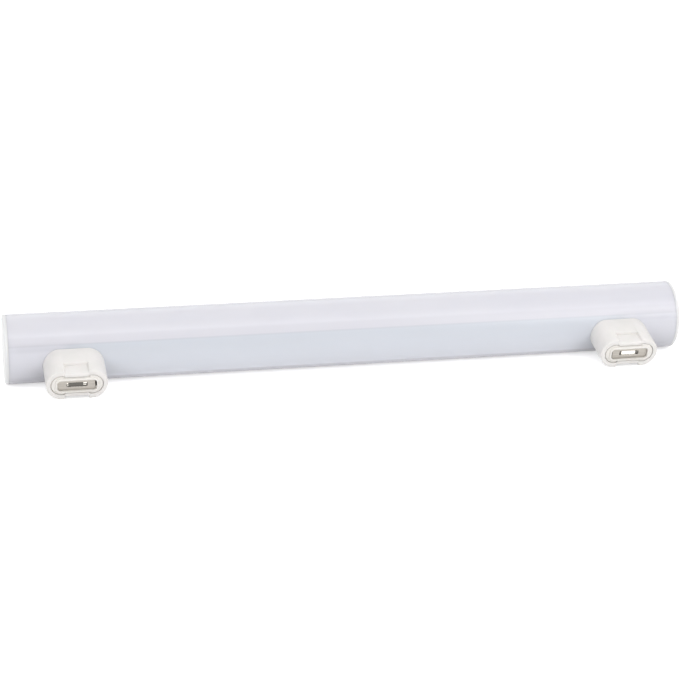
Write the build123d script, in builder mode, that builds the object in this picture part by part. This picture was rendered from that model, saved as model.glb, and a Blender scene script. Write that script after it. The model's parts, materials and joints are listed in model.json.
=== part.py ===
from build123d import *
import math
import os

# A straight lamp with an opal tube and two side bases. It lies as it comes to rest, on the
# line under its tube and on the lower edges of the two base rims.
# X runs along the tube and Z is up. The origin is on the surface that the lamp lies on,
# under the middle of its outer box. All sizes are in millimetres.

# Tube and its place over the bases
lamp_length = 300.0
tube_diameter = 30.0
tube_wall = 1.2
base_inset = 28.75  # from each end of the lamp to the middle of its base
base_height = 16.0  # from the tube's crown to the rim

# End caps
cap_flange = 1.6
cap_edge_round = 0.8
spigot_length = 5.0
spigot_wall = 1.2

# Fits
slide_gap = 0.1  # pieces that slide or press together
seat_gap = 0.05  # curved faces that bear on each other

# Slot for the holder's blade, in the contact insert
slot_length = 16.6
slot_width = 5.3
slot_corner_round = 1.6
insert_end_wall = 2.45
insert_side_wall = 0.95
insert_height = 7.0
insert_recess = 0.1  # below the rim
insert_edge_round = 0.3
groove = 0.35  # round the insert's face
groove_depth = 0.6
waist_step = 0.75  # the insert is this much narrower along its middle, on each side
waist_margin = 1.0  # between the waist and the round ends
waist_round = 0.45 * waist_step
lip_wall = 0.75  # raised round the slot
lip_height = 0.7
lip_round = 0.35

# Base housing
end_wall = 1.9
side_wall = 2.3
rear_wall = 2.0
floor_thickness = 1.5
rim_round = 0.7
pocket_edge_round = 0.25

# Notch in each long side of the rim, where the holder's spring takes hold
notch_margin = 1.0  # between the notch and the round ends
notch_depth = 1.3
notch_height = 6.6
notch_mouth_round = 0.75
notch_floor_round = 0.5
ramp_depth = 0.3
ramp_height = 4.0

# Neck of the housing, which clips through the tube's wall
neck_end_gap = 1.4
neck_side_gap = 1.5
neck_wall = 1.2
neck_depth = 1.4  # inside the tube's wall
hook_reach = 0.7
hook_height = 1.0
hook_width = 3.4

# Contact, drawn from sheet: a tray in the slot with a cup in its middle
sheet = 0.4
contact_depth = 1.0  # below the slot's lip
cup_length = 8.6
cup_width = 1.9
cup_depth = 1.8
cup_round = 0.4
bend_round = 0.3
tail_width = 2.5
tail_gap = 0.6  # between the slot's inner end and the tail
tail_out = 1.5  # behind the housing's floor

# Lead from the contact to the board
wire_diameter = 1.3
wire_lap = 1.0  # along the contact's tail
wire_shift = 2.4
wire_bend = 1.5
wire_room = 1.9  # between the neck and the board

# Board in its rails, with a heat spreader on its back
board_thickness = 1.0
board_edge_gap = 0.5
board_end_gap = 0.4
rail_thickness = 1.1
rail_overlap = 1.0
spreader_thickness = 0.8
spreader_side_gap = 0.5
spreader_end_gap = 3.0

# Light emitting diodes in a row along the board
led_length = 3.5
led_width = 2.8
led_height = 0.7
led_pitch = 12.0
led_end_margin = 8.0
led_window_inset = 0.45
led_window_depth = 0.1

# Driver parts on the board
chip_width = 3.9
chip_height = 1.5
chip_draft = 8.0  # degrees
bridge_length = 4.7
bridge_lead_pitch = 2.5
driver_length = 4.9
driver_lead_pitch = 1.27
chip_lead_width = 0.5
chip_lead_reach = 1.0
chip_lead_thickness = 0.2
part_clearance = 0.6  # between a driver part and the row of diodes
capacitor_diameter = 5.0
capacitor_length = 10.0
capacitor_edge_round = 0.4
capacitor_groove_round = 0.35
capacitor_groove_from_end = 1.8
fuse_diameter = 2.2
fuse_length = 5.8
fuse_cap_length = 1.2
fuse_cap_step = 0.15

# Outer sizes of a base, from the slot outwards
face_length = slot_length + 2 * insert_end_wall
face_width = slot_width + 2 * (insert_side_wall + waist_step)
pocket_length = face_length + 2 * groove
pocket_width = face_width + 2 * groove
base_length = pocket_length + 2 * end_wall
base_width = pocket_width + 2 * side_wall
waist_length = face_length - face_width - 2 * waist_margin
notch_length = base_length - base_width - 2 * notch_margin

# Levels along a base's axis, measured from the tube's axis
tube_radius = tube_diameter / 2
bore_radius = tube_radius - tube_wall
rim_level = tube_radius + base_height
insert_face = rim_level - insert_recess
insert_back = insert_face - insert_height
lip_level = insert_face + lip_height
rear_level = insert_back - floor_thickness
plate_back = lip_level - contact_depth - sheet
tail_end = rear_level - tail_out
shoulder_level = rim_level - notch_height
neck_level = bore_radius - neck_depth
board_back = neck_level - wire_room
board_face = board_back - board_thickness

# Lying angle: each base's axis dips below level until the tube and the rims bear together
edge_across = base_width / 2 - rim_round
edge_along = rim_level - rim_round
dip = math.asin((tube_radius - rim_round) / math.hypot(edge_across, edge_along))
dip -= math.atan2(edge_across, edge_along)
front_reach = edge_across * math.sin(dip) + edge_along * math.cos(dip) + rim_round
axis_place = (0, (front_reach - tube_radius) / 2, tube_radius)

# Planes: one along the tube that faces the rims, one across the tube, one on the board's face
lamp = Plane(axis_place, x_dir=(1, 0, 0), z_dir=(0, -math.cos(dip), -math.sin(dip)))
section = Plane(axis_place, x_dir=lamp.y_dir, z_dir=(1, 0, 0))
board_plane = Plane(lamp.offset(board_face).origin, x_dir=(1, 0, 0), z_dir=-lamp.z_dir)

# Places along the tube and along a base
base_spacing = lamp_length - 2 * base_inset
tail_place = tail_gap + (sheet - slot_length) / 2
tube_end = lamp_length / 2 - cap_flange
board_length = 2 * (tube_end - board_end_gap)
board_width = 2 * (math.sqrt(bore_radius**2 - board_back**2) - board_edge_gap)
rail_edge = board_width / 2 - rail_overlap
upper_rail_top = board_face - slide_gap - rail_thickness
led_count = int((board_length - 2 * led_end_margin) / led_pitch) + 1
first_led = -led_pitch * (led_count - 1) / 2
sides = ((-1, "left"), (1, "right"))


def base_plane(side):
    """Plane of one base on the tube's axis, facing its rim, with X away from the lamp's middle."""
    place = lamp.from_local_coords((side * base_spacing / 2, 0, 0))
    return Plane(place, x_dir=(side, 0, 0), z_dir=lamp.z_dir)


def waisted_obround(length, width, waist, step, outer_round, inner_round):
    """Obround that is narrower along its middle, with rounded steps at the waist's ends."""
    with BuildSketch() as outline:
        SlotOverall(length, width)
        with Locations((0, width / 2), (0, -width / 2)):
            Rectangle(waist, 2 * step, mode=Mode.SUBTRACT)
        steps = outline.vertices().filter_by(lambda v: abs(abs(v.X) - waist / 2) < 0.001)
        outer = steps.filter_by(lambda v: abs(v.Y) > width / 2 - step / 2)
        fillet(outer, outer_round)
        inner = outline.vertices().filter_by(
            lambda v: abs(abs(v.X) - waist / 2) < 0.001 and abs(abs(v.Y) - width / 2 + step) < 0.001
        )
        fillet(inner, inner_round)
    return outline.sketch


def insert_outline(grow):
    """Outline of the insert's face, grown by the same amount all round."""
    return waisted_obround(
        face_length + 2 * grow,
        face_width + 2 * grow,
        waist_length - 2 * grow,
        waist_step,
        waist_round,
        waist_round,
    )


def chip(place, length, leads, lead_pitch):
    """Moulded package on the board, with a row of flat leads along each side."""
    with BuildPart() as body:
        with BuildSketch(place):
            Rectangle(length, chip_width)
        extrude(amount=chip_height, taper=chip_draft)
        with BuildSketch(place):
            with GridLocations(lead_pitch, chip_width, leads, 2):
                Rectangle(chip_lead_width, 2 * chip_lead_reach)
        extrude(amount=chip_lead_thickness)
    return body


def board_place(gap_number, across):
    """Plane on the board's face, midway between two diodes of the row."""
    along = first_led + led_pitch * (gap_number + 0.5)
    return Plane(board_plane.from_local_coords((along, across, 0)), board_plane.x_dir, board_plane.z_dir)


os.makedirs("parts", exist_ok=True)
rim_outline = waisted_obround(
    base_length, base_width, notch_length, notch_depth, notch_mouth_round, notch_floor_round
)
face_outline = insert_outline(0)
body_outline = insert_outline(groove - slide_gap)
pocket_outline = insert_outline(groove)
neck_length = base_length - 2 * (rear_wall + neck_end_gap)
neck_width = base_width - 2 * (rear_wall + neck_side_gap)

# Opal tube: extruded with two pairs of inner rails, then cut for the necks
with BuildPart() as opal_tube:
    with BuildSketch(section):
        Circle(tube_radius)
        Circle(bore_radius, mode=Mode.SUBTRACT)
        for level in (upper_rail_top, board_back + slide_gap):
            for edge in (-1, 1):
                with Locations((edge * (rail_edge + tube_radius) / 2, level + rail_thickness / 2)):
                    Rectangle(tube_radius - rail_edge, rail_thickness)
        Circle(tube_radius, mode=Mode.INTERSECT)
    extrude(amount=tube_end, both=True)
    for side in (-1, 1):
        with BuildSketch(base_plane(side)):
            SlotOverall(neck_length + 2 * slide_gap, neck_width + 2 * slide_gap)
        extrude(amount=rim_level, mode=Mode.SUBTRACT)
opal_tube.part.label = "opal_tube"
export_step(opal_tube.part, "parts/opal_tube.step")

for side, hand in sides:
    base = base_plane(side)
    across_base = Plane(base.origin, x_dir=base.x_dir, z_dir=-base.y_dir)

    # End cap: a flange flush with the tube and a spigot that leaves room for the rails
    with BuildPart() as end_cap:
        with BuildSketch(section.offset(side * tube_end)):
            Circle(tube_radius)
        extrude(amount=side * cap_flange)
        fillet(end_cap.edges().sort_by(Axis((0, 0, 0), (side, 0, 0)))[-1], cap_edge_round)
        with BuildSketch(section.offset(side * tube_end)):
            Circle(bore_radius - slide_gap)
            Circle(bore_radius - slide_gap - spigot_wall, mode=Mode.SUBTRACT)
            with Locations((0, upper_rail_top - slide_gap)):
                Rectangle(
                    tube_diameter, tube_diameter, align=(Align.CENTER, Align.MIN), mode=Mode.SUBTRACT
                )
        extrude(amount=-side * spigot_length)
    end_cap.part.label = f"end_cap_{hand}"
    export_step(end_cap.part, f"parts/end_cap_{hand}.step")

    # Base housing: an obround body on the tube, notched at its rim, with a pocket for the
    # insert in front and a neck behind that clips through the tube's wall
    with BuildPart() as housing:
        with BuildSketch(base.offset(tube_radius / 2)):
            SlotOverall(base_length, base_width)
        extrude(amount=shoulder_level - tube_radius / 2)
        for edge in (-1, 1):
            with BuildSketch(Plane(base.origin, x_dir=base.y_dir, z_dir=base.x_dir)):
                with BuildLine():
                    Polyline(
                        (edge * base_width / 2, shoulder_level),
                        (edge * (base_width / 2 - ramp_depth), shoulder_level),
                        (edge * base_width / 2, shoulder_level - ramp_height),
                        close=True,
                    )
                make_face()
            extrude(amount=notch_length / 2, both=True, mode=Mode.SUBTRACT)
        with BuildSketch(base.offset(shoulder_level)):
            add(rim_outline)
        extrude(amount=notch_height)
        rim_face = housing.faces().sort_by(Axis(base.origin, base.z_dir))[-1]
        fillet(rim_face.edges(), rim_round)
        with BuildSketch(section.offset(side * base_spacing / 2)):
            Circle(tube_radius + seat_gap)
        extrude(amount=base_length, both=True, mode=Mode.SUBTRACT)
        with BuildSketch(base.offset(tube_radius / 2)):
            SlotOverall(base_length - 2 * rear_wall, base_width - 2 * rear_wall)
        extrude(amount=rear_level - tube_radius / 2, mode=Mode.SUBTRACT)
        with BuildSketch(base.offset(neck_level)):
            SlotOverall(neck_length, neck_width)
        extrude(amount=rear_level - neck_level)
        with BuildSketch(base.offset(neck_level)):
            Rectangle(neck_length + 2 * hook_reach, hook_width)
        extrude(amount=hook_height)
        with BuildSketch(base.offset(neck_level)):
            SlotOverall(neck_length - 2 * neck_wall, neck_width - 2 * neck_wall)
        extrude(amount=rear_level - neck_level, mode=Mode.SUBTRACT)
        with BuildSketch(base.offset(rim_level)):
            add(pocket_outline)
        extrude(amount=insert_back - rim_level, mode=Mode.SUBTRACT)
        rim_face = housing.faces().sort_by(Axis(base.origin, base.z_dir))[-1]
        fillet(rim_face.inner_wires().edges(), pocket_edge_round)
        with BuildSketch(base.offset(rear_level)):
            with Locations((tail_place, 0)):
                Rectangle(sheet + 2 * slide_gap, tail_width + 2 * slide_gap)
        extrude(amount=floor_thickness, mode=Mode.SUBTRACT)
    housing.part.label = f"base_housing_{hand}"
    export_step(housing.part, f"parts/base_housing_{hand}.step")

    # Contact insert: a waisted block that fills the pocket and carries the contact, with a
    # shallow groove round its face
    with BuildPart() as insert:
        with BuildSketch(base.offset(insert_back)):
            add(body_outline)
        extrude(amount=insert_height - groove_depth)
        with BuildSketch(base.offset(insert_face)):
            add(face_outline)
        extrude(amount=-groove_depth)
        front = insert.faces().sort_by(Axis(base.origin, base.z_dir))[-1]
        fillet(front.edges(), insert_edge_round)
        with BuildSketch(base.offset(insert_face)):
            RectangleRounded(
                slot_length + 2 * lip_wall, slot_width + 2 * lip_wall, slot_corner_round + lip_wall
            )
        extrude(amount=lip_height)
        front = insert.faces().sort_by(Axis(base.origin, base.z_dir))[-1]
        fillet(front.edges(), lip_round)
        with BuildSketch(base.offset(lip_level)):
            RectangleRounded(slot_length, slot_width, slot_corner_round)
        extrude(amount=plate_back - lip_level, mode=Mode.SUBTRACT)
        with BuildSketch(base.offset(insert_back)):
            Rectangle(cup_length + 2 * (sheet + slide_gap), cup_width + 2 * (sheet + slide_gap))
            with Locations((-slot_length / 2, 0)):
                Rectangle(
                    tail_gap + sheet + slide_gap,
                    tail_width + 2 * slide_gap,
                    align=(Align.MIN, Align.CENTER),
                )
        extrude(amount=insert_height, mode=Mode.SUBTRACT)
    insert.part.label = f"contact_insert_{hand}"
    export_step(insert.part, f"parts/contact_insert_{hand}.step")

    # Contact: the tray lies on the slot's floor, with a cup in its middle, and its inner end is
    # bent down into a tail for the lead
    with BuildPart() as contact:
        with BuildSketch(base.offset(plate_back)):
            RectangleRounded(
                slot_length - 2 * slide_gap, slot_width - 2 * slide_gap, slot_corner_round - slide_gap
            )
            with Locations((tail_place - sheet / 2, 0)):
                Rectangle(
                    slot_length, slot_width, align=(Align.MAX, Align.CENTER), mode=Mode.SUBTRACT
                )
        extrude(amount=sheet)
        with BuildSketch(base.offset(plate_back + sheet)):
            with Locations((tail_place, 0)):
                Rectangle(sheet, tail_width)
        extrude(amount=tail_end - plate_back - sheet)
        with BuildSketch(base.offset(plate_back)):
            RectangleRounded(cup_length + 2 * sheet, cup_width + 2 * sheet, cup_round + sheet)
        extrude(amount=-cup_depth)
        with BuildSketch(base.offset(plate_back + sheet)):
            RectangleRounded(cup_length, cup_width, cup_round)
        extrude(amount=-cup_depth, mode=Mode.SUBTRACT)
        tray = contact.faces().sort_by(Axis(base.origin, base.z_dir))[-1]
        fillet(tray.edges().sort_by(Axis(base.origin, base.x_dir))[0], bend_round)
        tray = contact.faces().sort_by(Axis(base.origin, base.z_dir))[-1]
        fillet(tray.inner_wires().edges(), bend_round)
    contact.part.label = f"contact_plate_{hand}"
    export_step(contact.part, f"parts/contact_plate_{hand}.step")

    # Lead: from beside the contact's tail down through the neck to the board's back
    wire_top = tail_end + wire_lap
    wire_low = board_back + seat_gap
    wire_along = tail_place + (sheet + wire_diameter) / 2 + seat_gap
    wire_third = (wire_top - wire_low) / 3
    with BuildPart() as lead_wire:
        with BuildLine(across_base) as route:
            FilletPolyline(
                (wire_along, wire_top),
                (wire_along, wire_top - wire_third),
                (wire_along + wire_shift, wire_low + wire_third),
                (wire_along + wire_shift, wire_low),
                radius=wire_bend,
            )
        with BuildSketch(Plane(route.line @ 0, z_dir=route.line % 0)):
            Circle(wire_diameter / 2)
        sweep()
    lead_wire.part.label = f"lead_wire_{hand}"
    export_step(lead_wire.part, f"parts/lead_wire_{hand}.step")

# Board across the tube, held in the rails
with BuildPart() as led_board:
    with BuildSketch(lamp.offset(board_face)):
        Rectangle(board_length, board_width)
    extrude(amount=board_thickness)
led_board.part.label = "led_board"
export_step(led_board.part, "parts/led_board.step")

# Heat spreader on the board's back, between the two bases
with BuildPart() as heat_spreader:
    with BuildSketch(lamp.offset(board_back)):
        Rectangle(
            base_spacing - base_length - 2 * spreader_end_gap,
            2 * (rail_edge - spreader_side_gap),
        )
    extrude(amount=spreader_thickness)
heat_spreader.part.label = "heat_spreader"
export_step(heat_spreader.part, "parts/heat_spreader.step")

# Diodes: packages in a row, each with a shallow window in its face
with BuildPart() as leds:
    with BuildSketch(board_plane):
        with GridLocations(led_pitch, led_pitch, led_count, 1):
            Rectangle(led_length, led_width)
    extrude(amount=led_height)
    with BuildSketch(board_plane.offset(led_height)):
        with GridLocations(led_pitch, led_pitch, led_count, 1):
            Rectangle(led_length - 2 * led_window_inset, led_width - 2 * led_window_inset)
    extrude(amount=-led_window_depth, mode=Mode.SUBTRACT)
leds.part.label = "leds"
export_step(leds.part, "parts/leds.step")

# Rectifier and current regulator, at the two ends of the row
bridge_rectifier = chip(board_place(0, 0), bridge_length, 2, bridge_lead_pitch)
bridge_rectifier.part.label = "bridge_rectifier"
export_step(bridge_rectifier.part, "parts/bridge_rectifier.step")
driver_ic = chip(board_place(led_count - 2, 0), driver_length, 4, driver_lead_pitch)
driver_ic.part.label = "driver_ic"
export_step(driver_ic.part, "parts/driver_ic.step")

# Smoothing capacitor, lying beside the row of diodes
capacitor_across = led_width / 2 + part_clearance + capacitor_diameter / 2
capacitor_plane = board_place(led_count - 3, capacitor_across).offset(capacitor_diameter / 2 + seat_gap)
with BuildPart() as capacitor:
    with BuildSketch(capacitor_plane) as half_section:
        Rectangle(capacitor_length, capacitor_diameter / 2, align=(Align.CENTER, Align.MIN))
        fillet(half_section.vertices().group_by(Axis.Y)[-1], capacitor_edge_round)
        with Locations((capacitor_groove_from_end - capacitor_length / 2, capacitor_diameter / 2)):
            Circle(capacitor_groove_round, mode=Mode.SUBTRACT)
    revolve(axis=Axis(capacitor_plane.origin, capacitor_plane.x_dir))
capacitor.part.label = "smoothing_capacitor"
export_step(capacitor.part, "parts/smoothing_capacitor.step")

# Fuse resistor with its two end caps, on the other side of the row
fuse_across = -led_width / 2 - part_clearance - fuse_diameter / 2
fuse_plane = board_place(1, fuse_across).offset(fuse_diameter / 2 + seat_gap)
with BuildPart() as fuse:
    with BuildSketch(fuse_plane):
        Rectangle(fuse_length, fuse_diameter / 2, align=(Align.CENTER, Align.MIN))
        with Locations((0, fuse_diameter / 2)):
            Rectangle(fuse_length - 2 * fuse_cap_length, 2 * fuse_cap_step, mode=Mode.SUBTRACT)
    revolve(axis=Axis(fuse_plane.origin, fuse_plane.x_dir))
fuse.part.label = "fuse_resistor"
export_step(fuse.part, "parts/fuse_resistor.step")
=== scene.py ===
import json
import math

import bpy
from mathutils import Matrix, Vector


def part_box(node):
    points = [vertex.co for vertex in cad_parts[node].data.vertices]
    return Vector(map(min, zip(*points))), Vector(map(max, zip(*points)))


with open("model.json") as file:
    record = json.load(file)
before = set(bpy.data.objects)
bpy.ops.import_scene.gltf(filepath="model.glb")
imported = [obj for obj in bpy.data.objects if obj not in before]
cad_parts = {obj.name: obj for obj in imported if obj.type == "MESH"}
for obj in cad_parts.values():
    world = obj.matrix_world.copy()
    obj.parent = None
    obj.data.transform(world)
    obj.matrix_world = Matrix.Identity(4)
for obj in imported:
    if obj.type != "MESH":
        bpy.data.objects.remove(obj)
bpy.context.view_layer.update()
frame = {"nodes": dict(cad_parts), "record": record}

# Sizes and places read from the frame, in metres
millimetre = 0.001
nodes = frame["nodes"]
mounts = {mount["name"]: mount for mount in frame["record"]["mounts"]}
tube_low, tube_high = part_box("opal_tube")
axis_place = (tube_low + tube_high) / 2
tube_end = tube_high.x
slot_place = Vector(mounts["right_contact_slot"]["pos_m"])  # middle of the right contact's flat
base_middle = slot_place.x  # how far the middle of each base is from the middle of the lamp
lengthwise = Vector((1.0, 0.0, 0.0))
facing = Vector(mounts["right_contact_slot"]["axis"])  # the way the bases point
backward = -facing  # the way the diodes point
across = facing.cross(lengthwise)  # from the lower to the upper sides of the bases
edge_blur = 0.05 * millimetre  # width of the change from one material to another on a small piece


def reach(name, direction):
    """How far a node goes in a direction."""
    return max(vertex.co.dot(direction) for vertex in nodes[name].data.vertices)


class Surface:
    """A material with one shader, and short ways to add nodes to it."""

    def __init__(self, name, roughness, metallic=0.0, specular=0.5):
        self.material = bpy.data.materials.new(name)
        self.material.use_nodes = True
        self.tree = self.material.node_tree
        self.shader = self.tree.nodes["Principled BSDF"]
        self.shader.inputs["Roughness"].default_value = roughness
        self.shader.inputs["Metallic"].default_value = metallic
        self.shader.inputs["Specular IOR Level"].default_value = specular
        self.mean_roughness = roughness
        self.place = self.tree.nodes.new("ShaderNodeTexCoord").outputs["Object"]

    def put(self, socket, value):
        """Feed a socket from another node's output, or set it to a plain value."""
        if isinstance(value, bpy.types.NodeSocket):
            self.tree.links.new(value, socket)
        else:
            socket.default_value = value

    def calc(self, operation, first, second=0.0):
        """A sum on plain numbers."""
        node = self.tree.nodes.new("ShaderNodeMath")
        node.operation = operation
        self.put(node.inputs[0], first)
        self.put(node.inputs[1], second)
        return node.outputs["Value"]

    def vector(self, operation, first, second):
        """A sum on vectors."""
        node = self.tree.nodes.new("ShaderNodeVectorMath")
        node.operation = operation
        self.put(node.inputs[0], first)
        self.put(node.inputs[1], second)
        return node.outputs["Value" if operation == "DOT_PRODUCT" else "Vector"]

    def measure(self, direction, start=(0.0, 0.0, 0.0)):
        """Distance along a direction from a starting place."""
        return self.vector("DOT_PRODUCT", self.vector("SUBTRACT", self.place, start), direction)

    def apart(self, value, middle):
        """How far the value is from the middle, on either side."""
        return self.calc("ABSOLUTE", self.calc("SUBTRACT", value, middle))

    def fade(self, value, start, stop, low=0.0, high=1.0):
        """Go smoothly from low to high while the value goes from start to stop."""
        node = self.tree.nodes.new("ShaderNodeMapRange")
        node.interpolation_type = "SMOOTHSTEP"
        self.put(node.inputs["Value"], value)
        node.inputs["From Min"].default_value = start
        node.inputs["From Max"].default_value = stop
        self.put(node.inputs["To Min"], low)
        self.put(node.inputs["To Max"], high)
        return node.outputs["Result"]

    def stripe(self, value, middle, half_width, strength=1.0):
        """A soft line where the value is near the middle."""
        return self.fade(self.apart(value, middle), half_width, 0.3 * half_width, high=strength)

    def noise(self, along, sideways=None, detail=2.0):
        """Noise with so many cells per metre along the tube, and as many or another number across it."""
        if sideways is None:
            sideways = along
        node = self.tree.nodes.new("ShaderNodeTexNoise")
        self.put(node.inputs["Vector"], self.vector("MULTIPLY", self.place, (along, sideways, sideways)))
        node.inputs["Scale"].default_value = 1.0
        node.inputs["Detail"].default_value = detail
        return node.outputs["Fac"]

    def patches(self, noise):
        """Noise drawn out to go all the way from zero to one."""
        return self.fade(noise, 0.3, 0.7)

    def mix(self, factor, first, second):
        """The first colour where the factor is zero, and the second where it is one."""
        node = self.tree.nodes.new("ShaderNodeMix")
        node.data_type = "RGBA"
        self.put(node.inputs["Factor"], factor)
        self.put(node.inputs["A"], first)
        self.put(node.inputs["B"], second)
        return node.outputs["Result"]

    def uneven(self, value, spread, start=0.0, stop=1.0):
        """Roughness that goes from under to over its mean while the value goes from start to stop."""
        return self.fade(value, start, stop, self.mean_roughness - spread, self.mean_roughness + spread)

    def colour(self, value):
        self.put(self.shader.inputs["Base Color"], value)

    def roughness(self, value):
        self.put(self.shader.inputs["Roughness"], value)

    def metal(self, value):
        self.put(self.shader.inputs["Metallic"], value)

    def scatter(self, weight, depth):
        """Let light spread about depth metres under the surface."""
        self.shader.inputs["Subsurface Weight"].default_value = weight
        self.shader.inputs["Subsurface Radius"].default_value = (1.0, 0.95, 0.9)
        self.shader.inputs["Subsurface Scale"].default_value = depth

    def bump(self, height, depth):
        """Raise the surface by up to depth metres where height is one."""
        node = self.tree.nodes.new("ShaderNodeBump")
        node.inputs["Strength"].default_value = 1.0
        node.inputs["Distance"].default_value = depth
        self.put(node.inputs["Height"], height)
        self.put(self.shader.inputs["Normal"], node.outputs["Normal"])

    def dress(self, *names):
        """Give the material to nodes."""
        for name in names:
            nodes[name].material_slots[0].material = self.material


def rgb(red, green, blue):
    """Colour from screen values between 0 and 255."""
    linear = []
    for value in (red / 255, green / 255, blue / 255):
        linear.append(value / 12.92 if value <= 0.04045 else ((value + 0.055) / 1.055) ** 2.4)
    return (*linear, 1.0)


# Opal plastic, extruded: faint streaks along the tube, and the board showing dimly through the
# wall, with a cooler tone where the metal strip backs it. Painted light on top of that: a painted
# shadow line at the board's edges, the strip painted lighter towards the bottom in place of light
# from below, the rest of the board painted a little darker towards the bottom, a painted shade
# just beyond the board's edges, and a painted shade by the outer side of each base
board_edge = math.radians(34.5)  # angle about the tube's axis, from the bases to the board's edge
edge_shadow_line = 0.04  # half the width of the painted shadow line, in radians about the axis
strip_end = base_middle - 0.2 * millimetre
strip_blur = 7.0 * millimetre
shade_middle = base_middle + 11.8 * millimetre
shade_core = 9.0 * millimetre
shade_blur = 10.0 * millimetre
joint_width = 0.25 * millimetre
streak_height = 0.004 * millimetre

opal = Surface("opal_plastic", roughness=0.25, specular=0.4)
angle = opal.calc("ARCTAN2", opal.measure(across, axis_place), opal.measure(facing, axis_place))
around = opal.calc("ABSOLUTE", angle)
along = opal.calc("ABSOLUTE", opal.measure(lengthwise))
streaks = opal.noise(3.0, sideways=700.0, detail=3.0)
cloud = opal.patches(opal.noise(18.0, sideways=40.0))

# painted shade: the clear wall made a little darker just beyond the board's edges
painted_shade_beside_board = opal.fade(around, 1.5 * board_edge, 1.35 * board_edge, high=0.5)
clear = opal.mix(cloud, rgb(220, 219, 227), rgb(223, 222, 229))
clear = opal.mix(painted_shade_beside_board, clear, rgb(213, 212, 219))
down = opal.fade(angle, board_edge, -1.4 * board_edge)
# the strip's cooler tone, with painted light: lighter towards the bottom, in place of light from below
strip_tone_painted_lighter_below = opal.mix(down, rgb(208, 212, 220), rgb(230, 232, 240))
# the board's tone beyond the strip, with painted shade: a little darker towards the bottom
board_tone_painted_darker_below = opal.mix(down, rgb(220, 220, 228), rgb(217, 217, 224))
over_strip = opal.fade(along, strip_end + strip_blur, strip_end)
shown = opal.mix(over_strip, board_tone_painted_darker_below, strip_tone_painted_lighter_below)
over_board = opal.fade(around, 1.06 * board_edge, 0.96 * board_edge)
wall = opal.mix(over_board, clear, shown)
# painted shadow: a thin dark line where the board's edge lies behind the wall
wall = opal.mix(opal.stripe(around, board_edge, edge_shadow_line, strength=0.22), wall, rgb(190, 191, 198))
# painted shade: the tube darker by the outer side of each base, near the board's edge
from_shade = opal.apart(along, shade_middle)
by_base = opal.fade(from_shade, shade_core + shade_blur, shade_core, high=0.28)
painted_shade_by_base = opal.calc("MULTIPLY", by_base, opal.stripe(around, 0.9 * board_edge, 0.3 * board_edge))
wall = opal.mix(painted_shade_by_base, wall, rgb(186, 186, 193))
wall = opal.mix(opal.fade(streaks, 0.35, 0.75, high=0.12), wall, rgb(214, 214, 221))
joint = opal.fade(along, tube_end - joint_width, tube_end, high=0.5)
opal.colour(opal.mix(joint, wall, rgb(190, 190, 196)))
opal.roughness(opal.uneven(cloud, spread=0.02))
opal.bump(streaks, streak_height)
opal.scatter(0.5, 3.0 * millimetre)
opal.dress("opal_tube")


def grained_plastic(name, dressed, tones, roughness, spread, cells, grain_height, scatter):
    """Moulded plastic with a fine even grain and a faint change of tone from place to place."""
    plastic = Surface(name, roughness)
    grain_cells, cloud_cells = cells
    grain = plastic.noise(grain_cells, detail=1.0)
    plastic.colour(plastic.mix(plastic.patches(plastic.noise(cloud_cells)), *tones))
    plastic.roughness(plastic.uneven(grain, spread, start=0.3, stop=0.7))
    plastic.bump(grain, grain_height)
    plastic.scatter(*scatter)
    plastic.dress(*dressed)


# The caps are of a plainer white than the tube, the bases warmer, and the inserts a little yellower
grained_plastic(
    "cap_plastic",
    dressed=("end_cap_left", "end_cap_right"),
    tones=(rgb(228, 228, 229), rgb(233, 233, 233)),
    roughness=0.36,
    spread=0.03,
    cells=(2600.0, 120.0),
    grain_height=0.004 * millimetre,
    scatter=(0.5, 1.5 * millimetre),
)
grained_plastic(
    "base_plastic",
    dressed=("base_housing_left", "base_housing_right"),
    tones=(rgb(230, 228, 225), rgb(234, 231, 229)),
    roughness=0.42,
    spread=0.04,
    cells=(3200.0, 160.0),
    grain_height=0.006 * millimetre,
    scatter=(0.25, 0.5 * millimetre),
)
grained_plastic(
    "insert_plastic",
    dressed=("contact_insert_left", "contact_insert_right"),
    tones=(rgb(232, 229, 224), rgb(236, 233, 229)),
    roughness=0.46,
    spread=0.04,
    cells=(3000.0, 200.0),
    grain_height=0.005 * millimetre,
    scatter=(0.25, 0.5 * millimetre),
)

# Nickel plated sheet: dull drawing marks on the flat, a brighter gloss down in the cup, whose
# floor rises towards its two ends. Levels go up the way the bases point, from the flat
flat_level = -0.02 * millimetre
bend_level = -0.2 * millimetre
wall_level = -1.5 * millimetre
floor_level = -1.7 * millimetre
outer_rise = 3.55 * millimetre  # from the base's middle to where the floor starts to rise
outer_slope = math.radians(14.2)
inner_rise = 2.8 * millimetre
inner_slope = math.radians(22.0)
cup_roughness = 0.08
mark_height = 0.003 * millimetre

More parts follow.
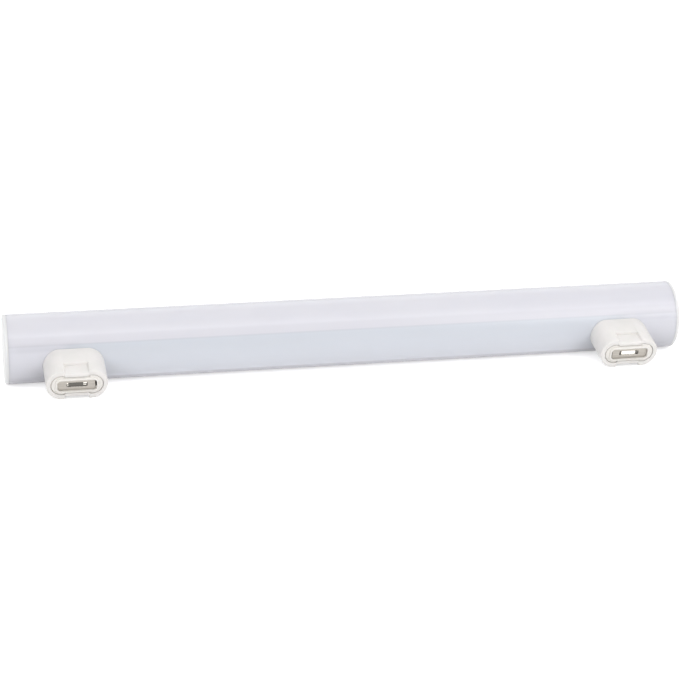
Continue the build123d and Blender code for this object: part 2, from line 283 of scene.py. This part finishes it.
nickel = Surface("nickel", roughness=0.4, metallic=1.0)
marks = nickel.noise(90.0, sideways=2600.0, detail=3.0)
drawn = nickel.patches(marks)
level = nickel.measure(facing, slot_place)
on_flat = nickel.fade(level, bend_level, flat_level)
on_floor = nickel.fade(level, wall_level, floor_level)
flat = nickel.mix(drawn, rgb(168, 163, 156), rgb(184, 179, 172))
cup = nickel.mix(drawn, rgb(168, 166, 162), rgb(176, 174, 171))
nickel.colour(nickel.mix(on_flat, cup, flat))
nickel.roughness(nickel.fade(on_flat, 0.0, 1.0, cup_roughness, nickel.uneven(drawn, spread=0.06)))
along = nickel.calc("ABSOLUTE", nickel.measure(lengthwise))
outward = nickel.calc("SUBTRACT", along, base_middle)
inward = nickel.calc("SUBTRACT", base_middle, along)
height = nickel.calc("MULTIPLY", marks, mark_height)
for distance, start, slope in ((outward, outer_rise, outer_slope), (inward, inner_rise, inner_slope)):
    past = nickel.calc("MAXIMUM", nickel.calc("SUBTRACT", distance, start), 0.0)
    rise = nickel.calc("MULTIPLY", past, math.tan(slope))
    height = nickel.calc("ADD", height, nickel.calc("MULTIPLY", rise, on_floor))
nickel.bump(height, 1.0)
nickel.dress("contact_plate_left", "contact_plate_right")

# Silicone sleeve of the leads
sleeve = Surface("wire_sleeve", roughness=0.5)
cloud = sleeve.noise(900.0)
sleeve.colour(sleeve.mix(cloud, rgb(222, 222, 216), rgb(234, 234, 230)))
sleeve.bump(cloud, 0.01 * millimetre)
sleeve.dress("lead_wire_left", "lead_wire_right")

# White solder mask over the weave of the board
mask = Surface("board_white", roughness=0.38)
weave = mask.noise(1400.0, detail=1.0)
mask.colour(mask.mix(mask.fade(weave, 0.35, 0.65), rgb(226, 228, 228), rgb(238, 239, 239)))
mask.bump(weave, 0.006 * millimetre)
mask.dress("led_board")

# Diodes: white packages with a yellow window sunk in their faces
window_level = reach("leds", backward) - 0.1 * millimetre
diode = Surface("diode", roughness=0.35)
speckle = diode.patches(diode.noise(2500.0, detail=1.0))
window = diode.stripe(diode.measure(backward), window_level, edge_blur)
phosphor = diode.mix(speckle, rgb(240, 206, 84), rgb(246, 220, 112))
diode.colour(diode.mix(window, rgb(236, 236, 232), phosphor))
diode.dress("leds")

# Rolled aluminium
rolled = Surface("plain_aluminium", roughness=0.375, metallic=1.0)
marks = rolled.patches(rolled.noise(30.0, sideways=1800.0, detail=3.0))
rolled.colour(rolled.mix(marks, rgb(196, 199, 204), rgb(214, 217, 222)))
rolled.roughness(rolled.uneven(marks, spread=0.075))
rolled.dress("heat_spreader")

# Moulded black packages with tinned leads at the board
lead_top = reach("led_board", backward) + 0.3 * millimetre
package = Surface("chip_black", roughness=0.55)
grain = package.noise(6000.0, detail=1.0)
tinned = package.fade(package.measure(backward), lead_top + edge_blur, lead_top)
black = package.mix(grain, rgb(34, 34, 35), rgb(52, 52, 54))
package.colour(package.mix(tinned, black, rgb(196, 196, 194)))
package.metal(tinned)
package.bump(grain, 0.008 * millimetre)
package.dress("bridge_rectifier", "driver_ic")

# Shrunk sleeve of the capacitor
shrunk = Surface("capacitor_sleeve", roughness=0.28)
cloud = shrunk.noise(500.0)
shrunk.colour(shrunk.mix(cloud, rgb(38, 42, 58), rgb(56, 60, 80)))
shrunk.bump(cloud, 0.02 * millimetre)
shrunk.dress("smoothing_capacitor")

# Coating of the fuse resistor, between its plated end caps
fuse_low, fuse_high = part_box("fuse_resistor")
fuse_middle = (fuse_low + fuse_high) / 2
coating_end = 1.7 * millimetre  # from the middle of the fuse resistor
coating = Surface("fuse_body", roughness=0.3)
cloud = coating.noise(1100.0)
from_middle = coating.calc("ABSOLUTE", coating.measure(lengthwise, fuse_middle))
plated = coating.fade(from_middle, coating_end - edge_blur, coating_end + edge_blur)
green = coating.mix(cloud, rgb(140, 170, 156), rgb(168, 194, 182))
coating.colour(coating.mix(plated, green, rgb(200, 199, 194)))
coating.metal(plated)
coating.bump(cloud, 0.015 * millimetre)
coating.dress("fuse_resistor")


def seen_rays(tree):
    """One for rays that show the ground itself: from the camera, a gloss or a clear piece."""
    path = tree.nodes.new("ShaderNodeLightPath")
    seen = path.outputs["Is Camera Ray"]
    for other in ("Is Glossy Ray", "Is Transmission Ray"):
        node = tree.nodes.new("ShaderNodeMath")
        node.operation = "MAXIMUM"
        tree.links.new(seen, node.inputs[0])
        tree.links.new(path.outputs[other], node.inputs[1])
        seen = node.outputs["Value"]
    return seen


# Pale floor, lifted to white where it is looked at, so that only the shadow stays
floor_half = 4.0
floor_grey = 0.9
floor_lift = 0.55
corners = [
    (-floor_half, -floor_half, 0),
    (floor_half, -floor_half, 0),
    (floor_half, floor_half, 0),
    (-floor_half, floor_half, 0),
]
floor_mesh = bpy.data.meshes.new("floor")
floor_mesh.from_pydata(corners, [], [(0, 1, 2, 3)])
floor = bpy.data.objects.new("floor", floor_mesh)
bpy.context.scene.collection.objects.link(floor)
ground = bpy.data.materials.new("floor")
ground.use_nodes = True
tree = ground.node_tree
tree.nodes.remove(tree.nodes["Principled BSDF"])
matt = tree.nodes.new("ShaderNodeBsdfDiffuse")
matt.inputs["Color"].default_value = (floor_grey, floor_grey, floor_grey, 1.0)
lift = tree.nodes.new("ShaderNodeEmission")
lift_strength = tree.nodes.new("ShaderNodeMath")
lift_strength.operation = "MULTIPLY"
lift_strength.inputs[1].default_value = floor_lift
tree.links.new(seen_rays(tree), lift_strength.inputs[0])
tree.links.new(lift_strength.outputs["Value"], lift.inputs["Strength"])
both = tree.nodes.new("ShaderNodeAddShader")
tree.links.new(matt.outputs["BSDF"], both.inputs[0])
tree.links.new(lift.outputs["Emission"], both.inputs[1])
tree.links.new(both.outputs["Shader"], tree.nodes["Material Output"].inputs["Surface"])
floor_mesh.materials.append(ground)

# Soft white surroundings, like a light tent
tent_light = 0.77
seen_white = 1.0
world = bpy.data.worlds.new("tent")
world.use_nodes = True
tree = world.node_tree
strength = tree.nodes.new("ShaderNodeMapRange")
strength.inputs["To Min"].default_value = tent_light
strength.inputs["To Max"].default_value = seen_white
tree.links.new(seen_rays(tree), strength.inputs["Value"])
tree.links.new(strength.outputs["Result"], tree.nodes["Background"].inputs["Strength"])
tree.nodes["Background"].inputs["Color"].default_value = (1.0, 1.0, 1.0, 1.0)
bpy.context.scene.world = world


def soft_light(name, elevation, azimuth, distance, length, height, radiance):
    """A soft lamp that faces the tube, with its place as two angles in degrees and a distance."""
    lamp = bpy.data.lights.new(name, "AREA")
    lamp.shape = "RECTANGLE"
    lamp.size = length
    lamp.size_y = height
    lamp.energy = radiance * math.pi * length * height
    holder = bpy.data.objects.new(name, lamp)
    rise = math.radians(elevation)
    turn = math.radians(azimuth)
    away = Vector((math.sin(turn) * math.cos(rise), -math.cos(turn) * math.cos(rise), math.sin(rise)))
    holder.location = axis_place + distance * away
    holder.rotation_euler = away.to_track_quat("Z", "Y").to_euler()
    holder.visible_camera = False
    bpy.context.scene.collection.objects.link(holder)


soft_light("key", elevation=56, azimuth=0, distance=1.1, length=1.6, height=0.1, radiance=4.2)
soft_light("top", elevation=34, azimuth=31, distance=1.2, length=0.34, height=0.22, radiance=5.0)
soft_light("front", elevation=15.5, azimuth=25, distance=1.3, length=0.18, height=0.34, radiance=7.5)
soft_light("fill", elevation=18, azimuth=-38, distance=1.4, length=0.2, height=0.35, radiance=6.0)
soft_light("back", elevation=40, azimuth=180, distance=1.4, length=1.4, height=0.5, radiance=0.8)

# Camera at the photograph's viewing angle, with its angles in degrees
camera_place = Vector((-0.18456, -0.86248, 0.27425))
camera_turn = -11.789
camera_dip = 16.487
camera_roll = 0.254
camera_data = bpy.data.cameras.new("camera")
camera_data.sensor_width = 36.0
camera_data.lens = 111.1
camera = bpy.data.objects.new("camera", camera_data)
turn = Matrix.Rotation(math.radians(camera_turn), 4, "Z")
tilt = Matrix.Rotation(math.radians(90 - camera_dip), 4, "X")
roll = Matrix.Rotation(math.radians(camera_roll), 4, "Z")
camera.matrix_world = Matrix.Translation(camera_place) @ turn @ tilt @ roll
bpy.context.scene.collection.objects.link(camera)
bpy.context.scene.camera = camera
bpy.context.scene.view_settings.view_transform = "Standard"
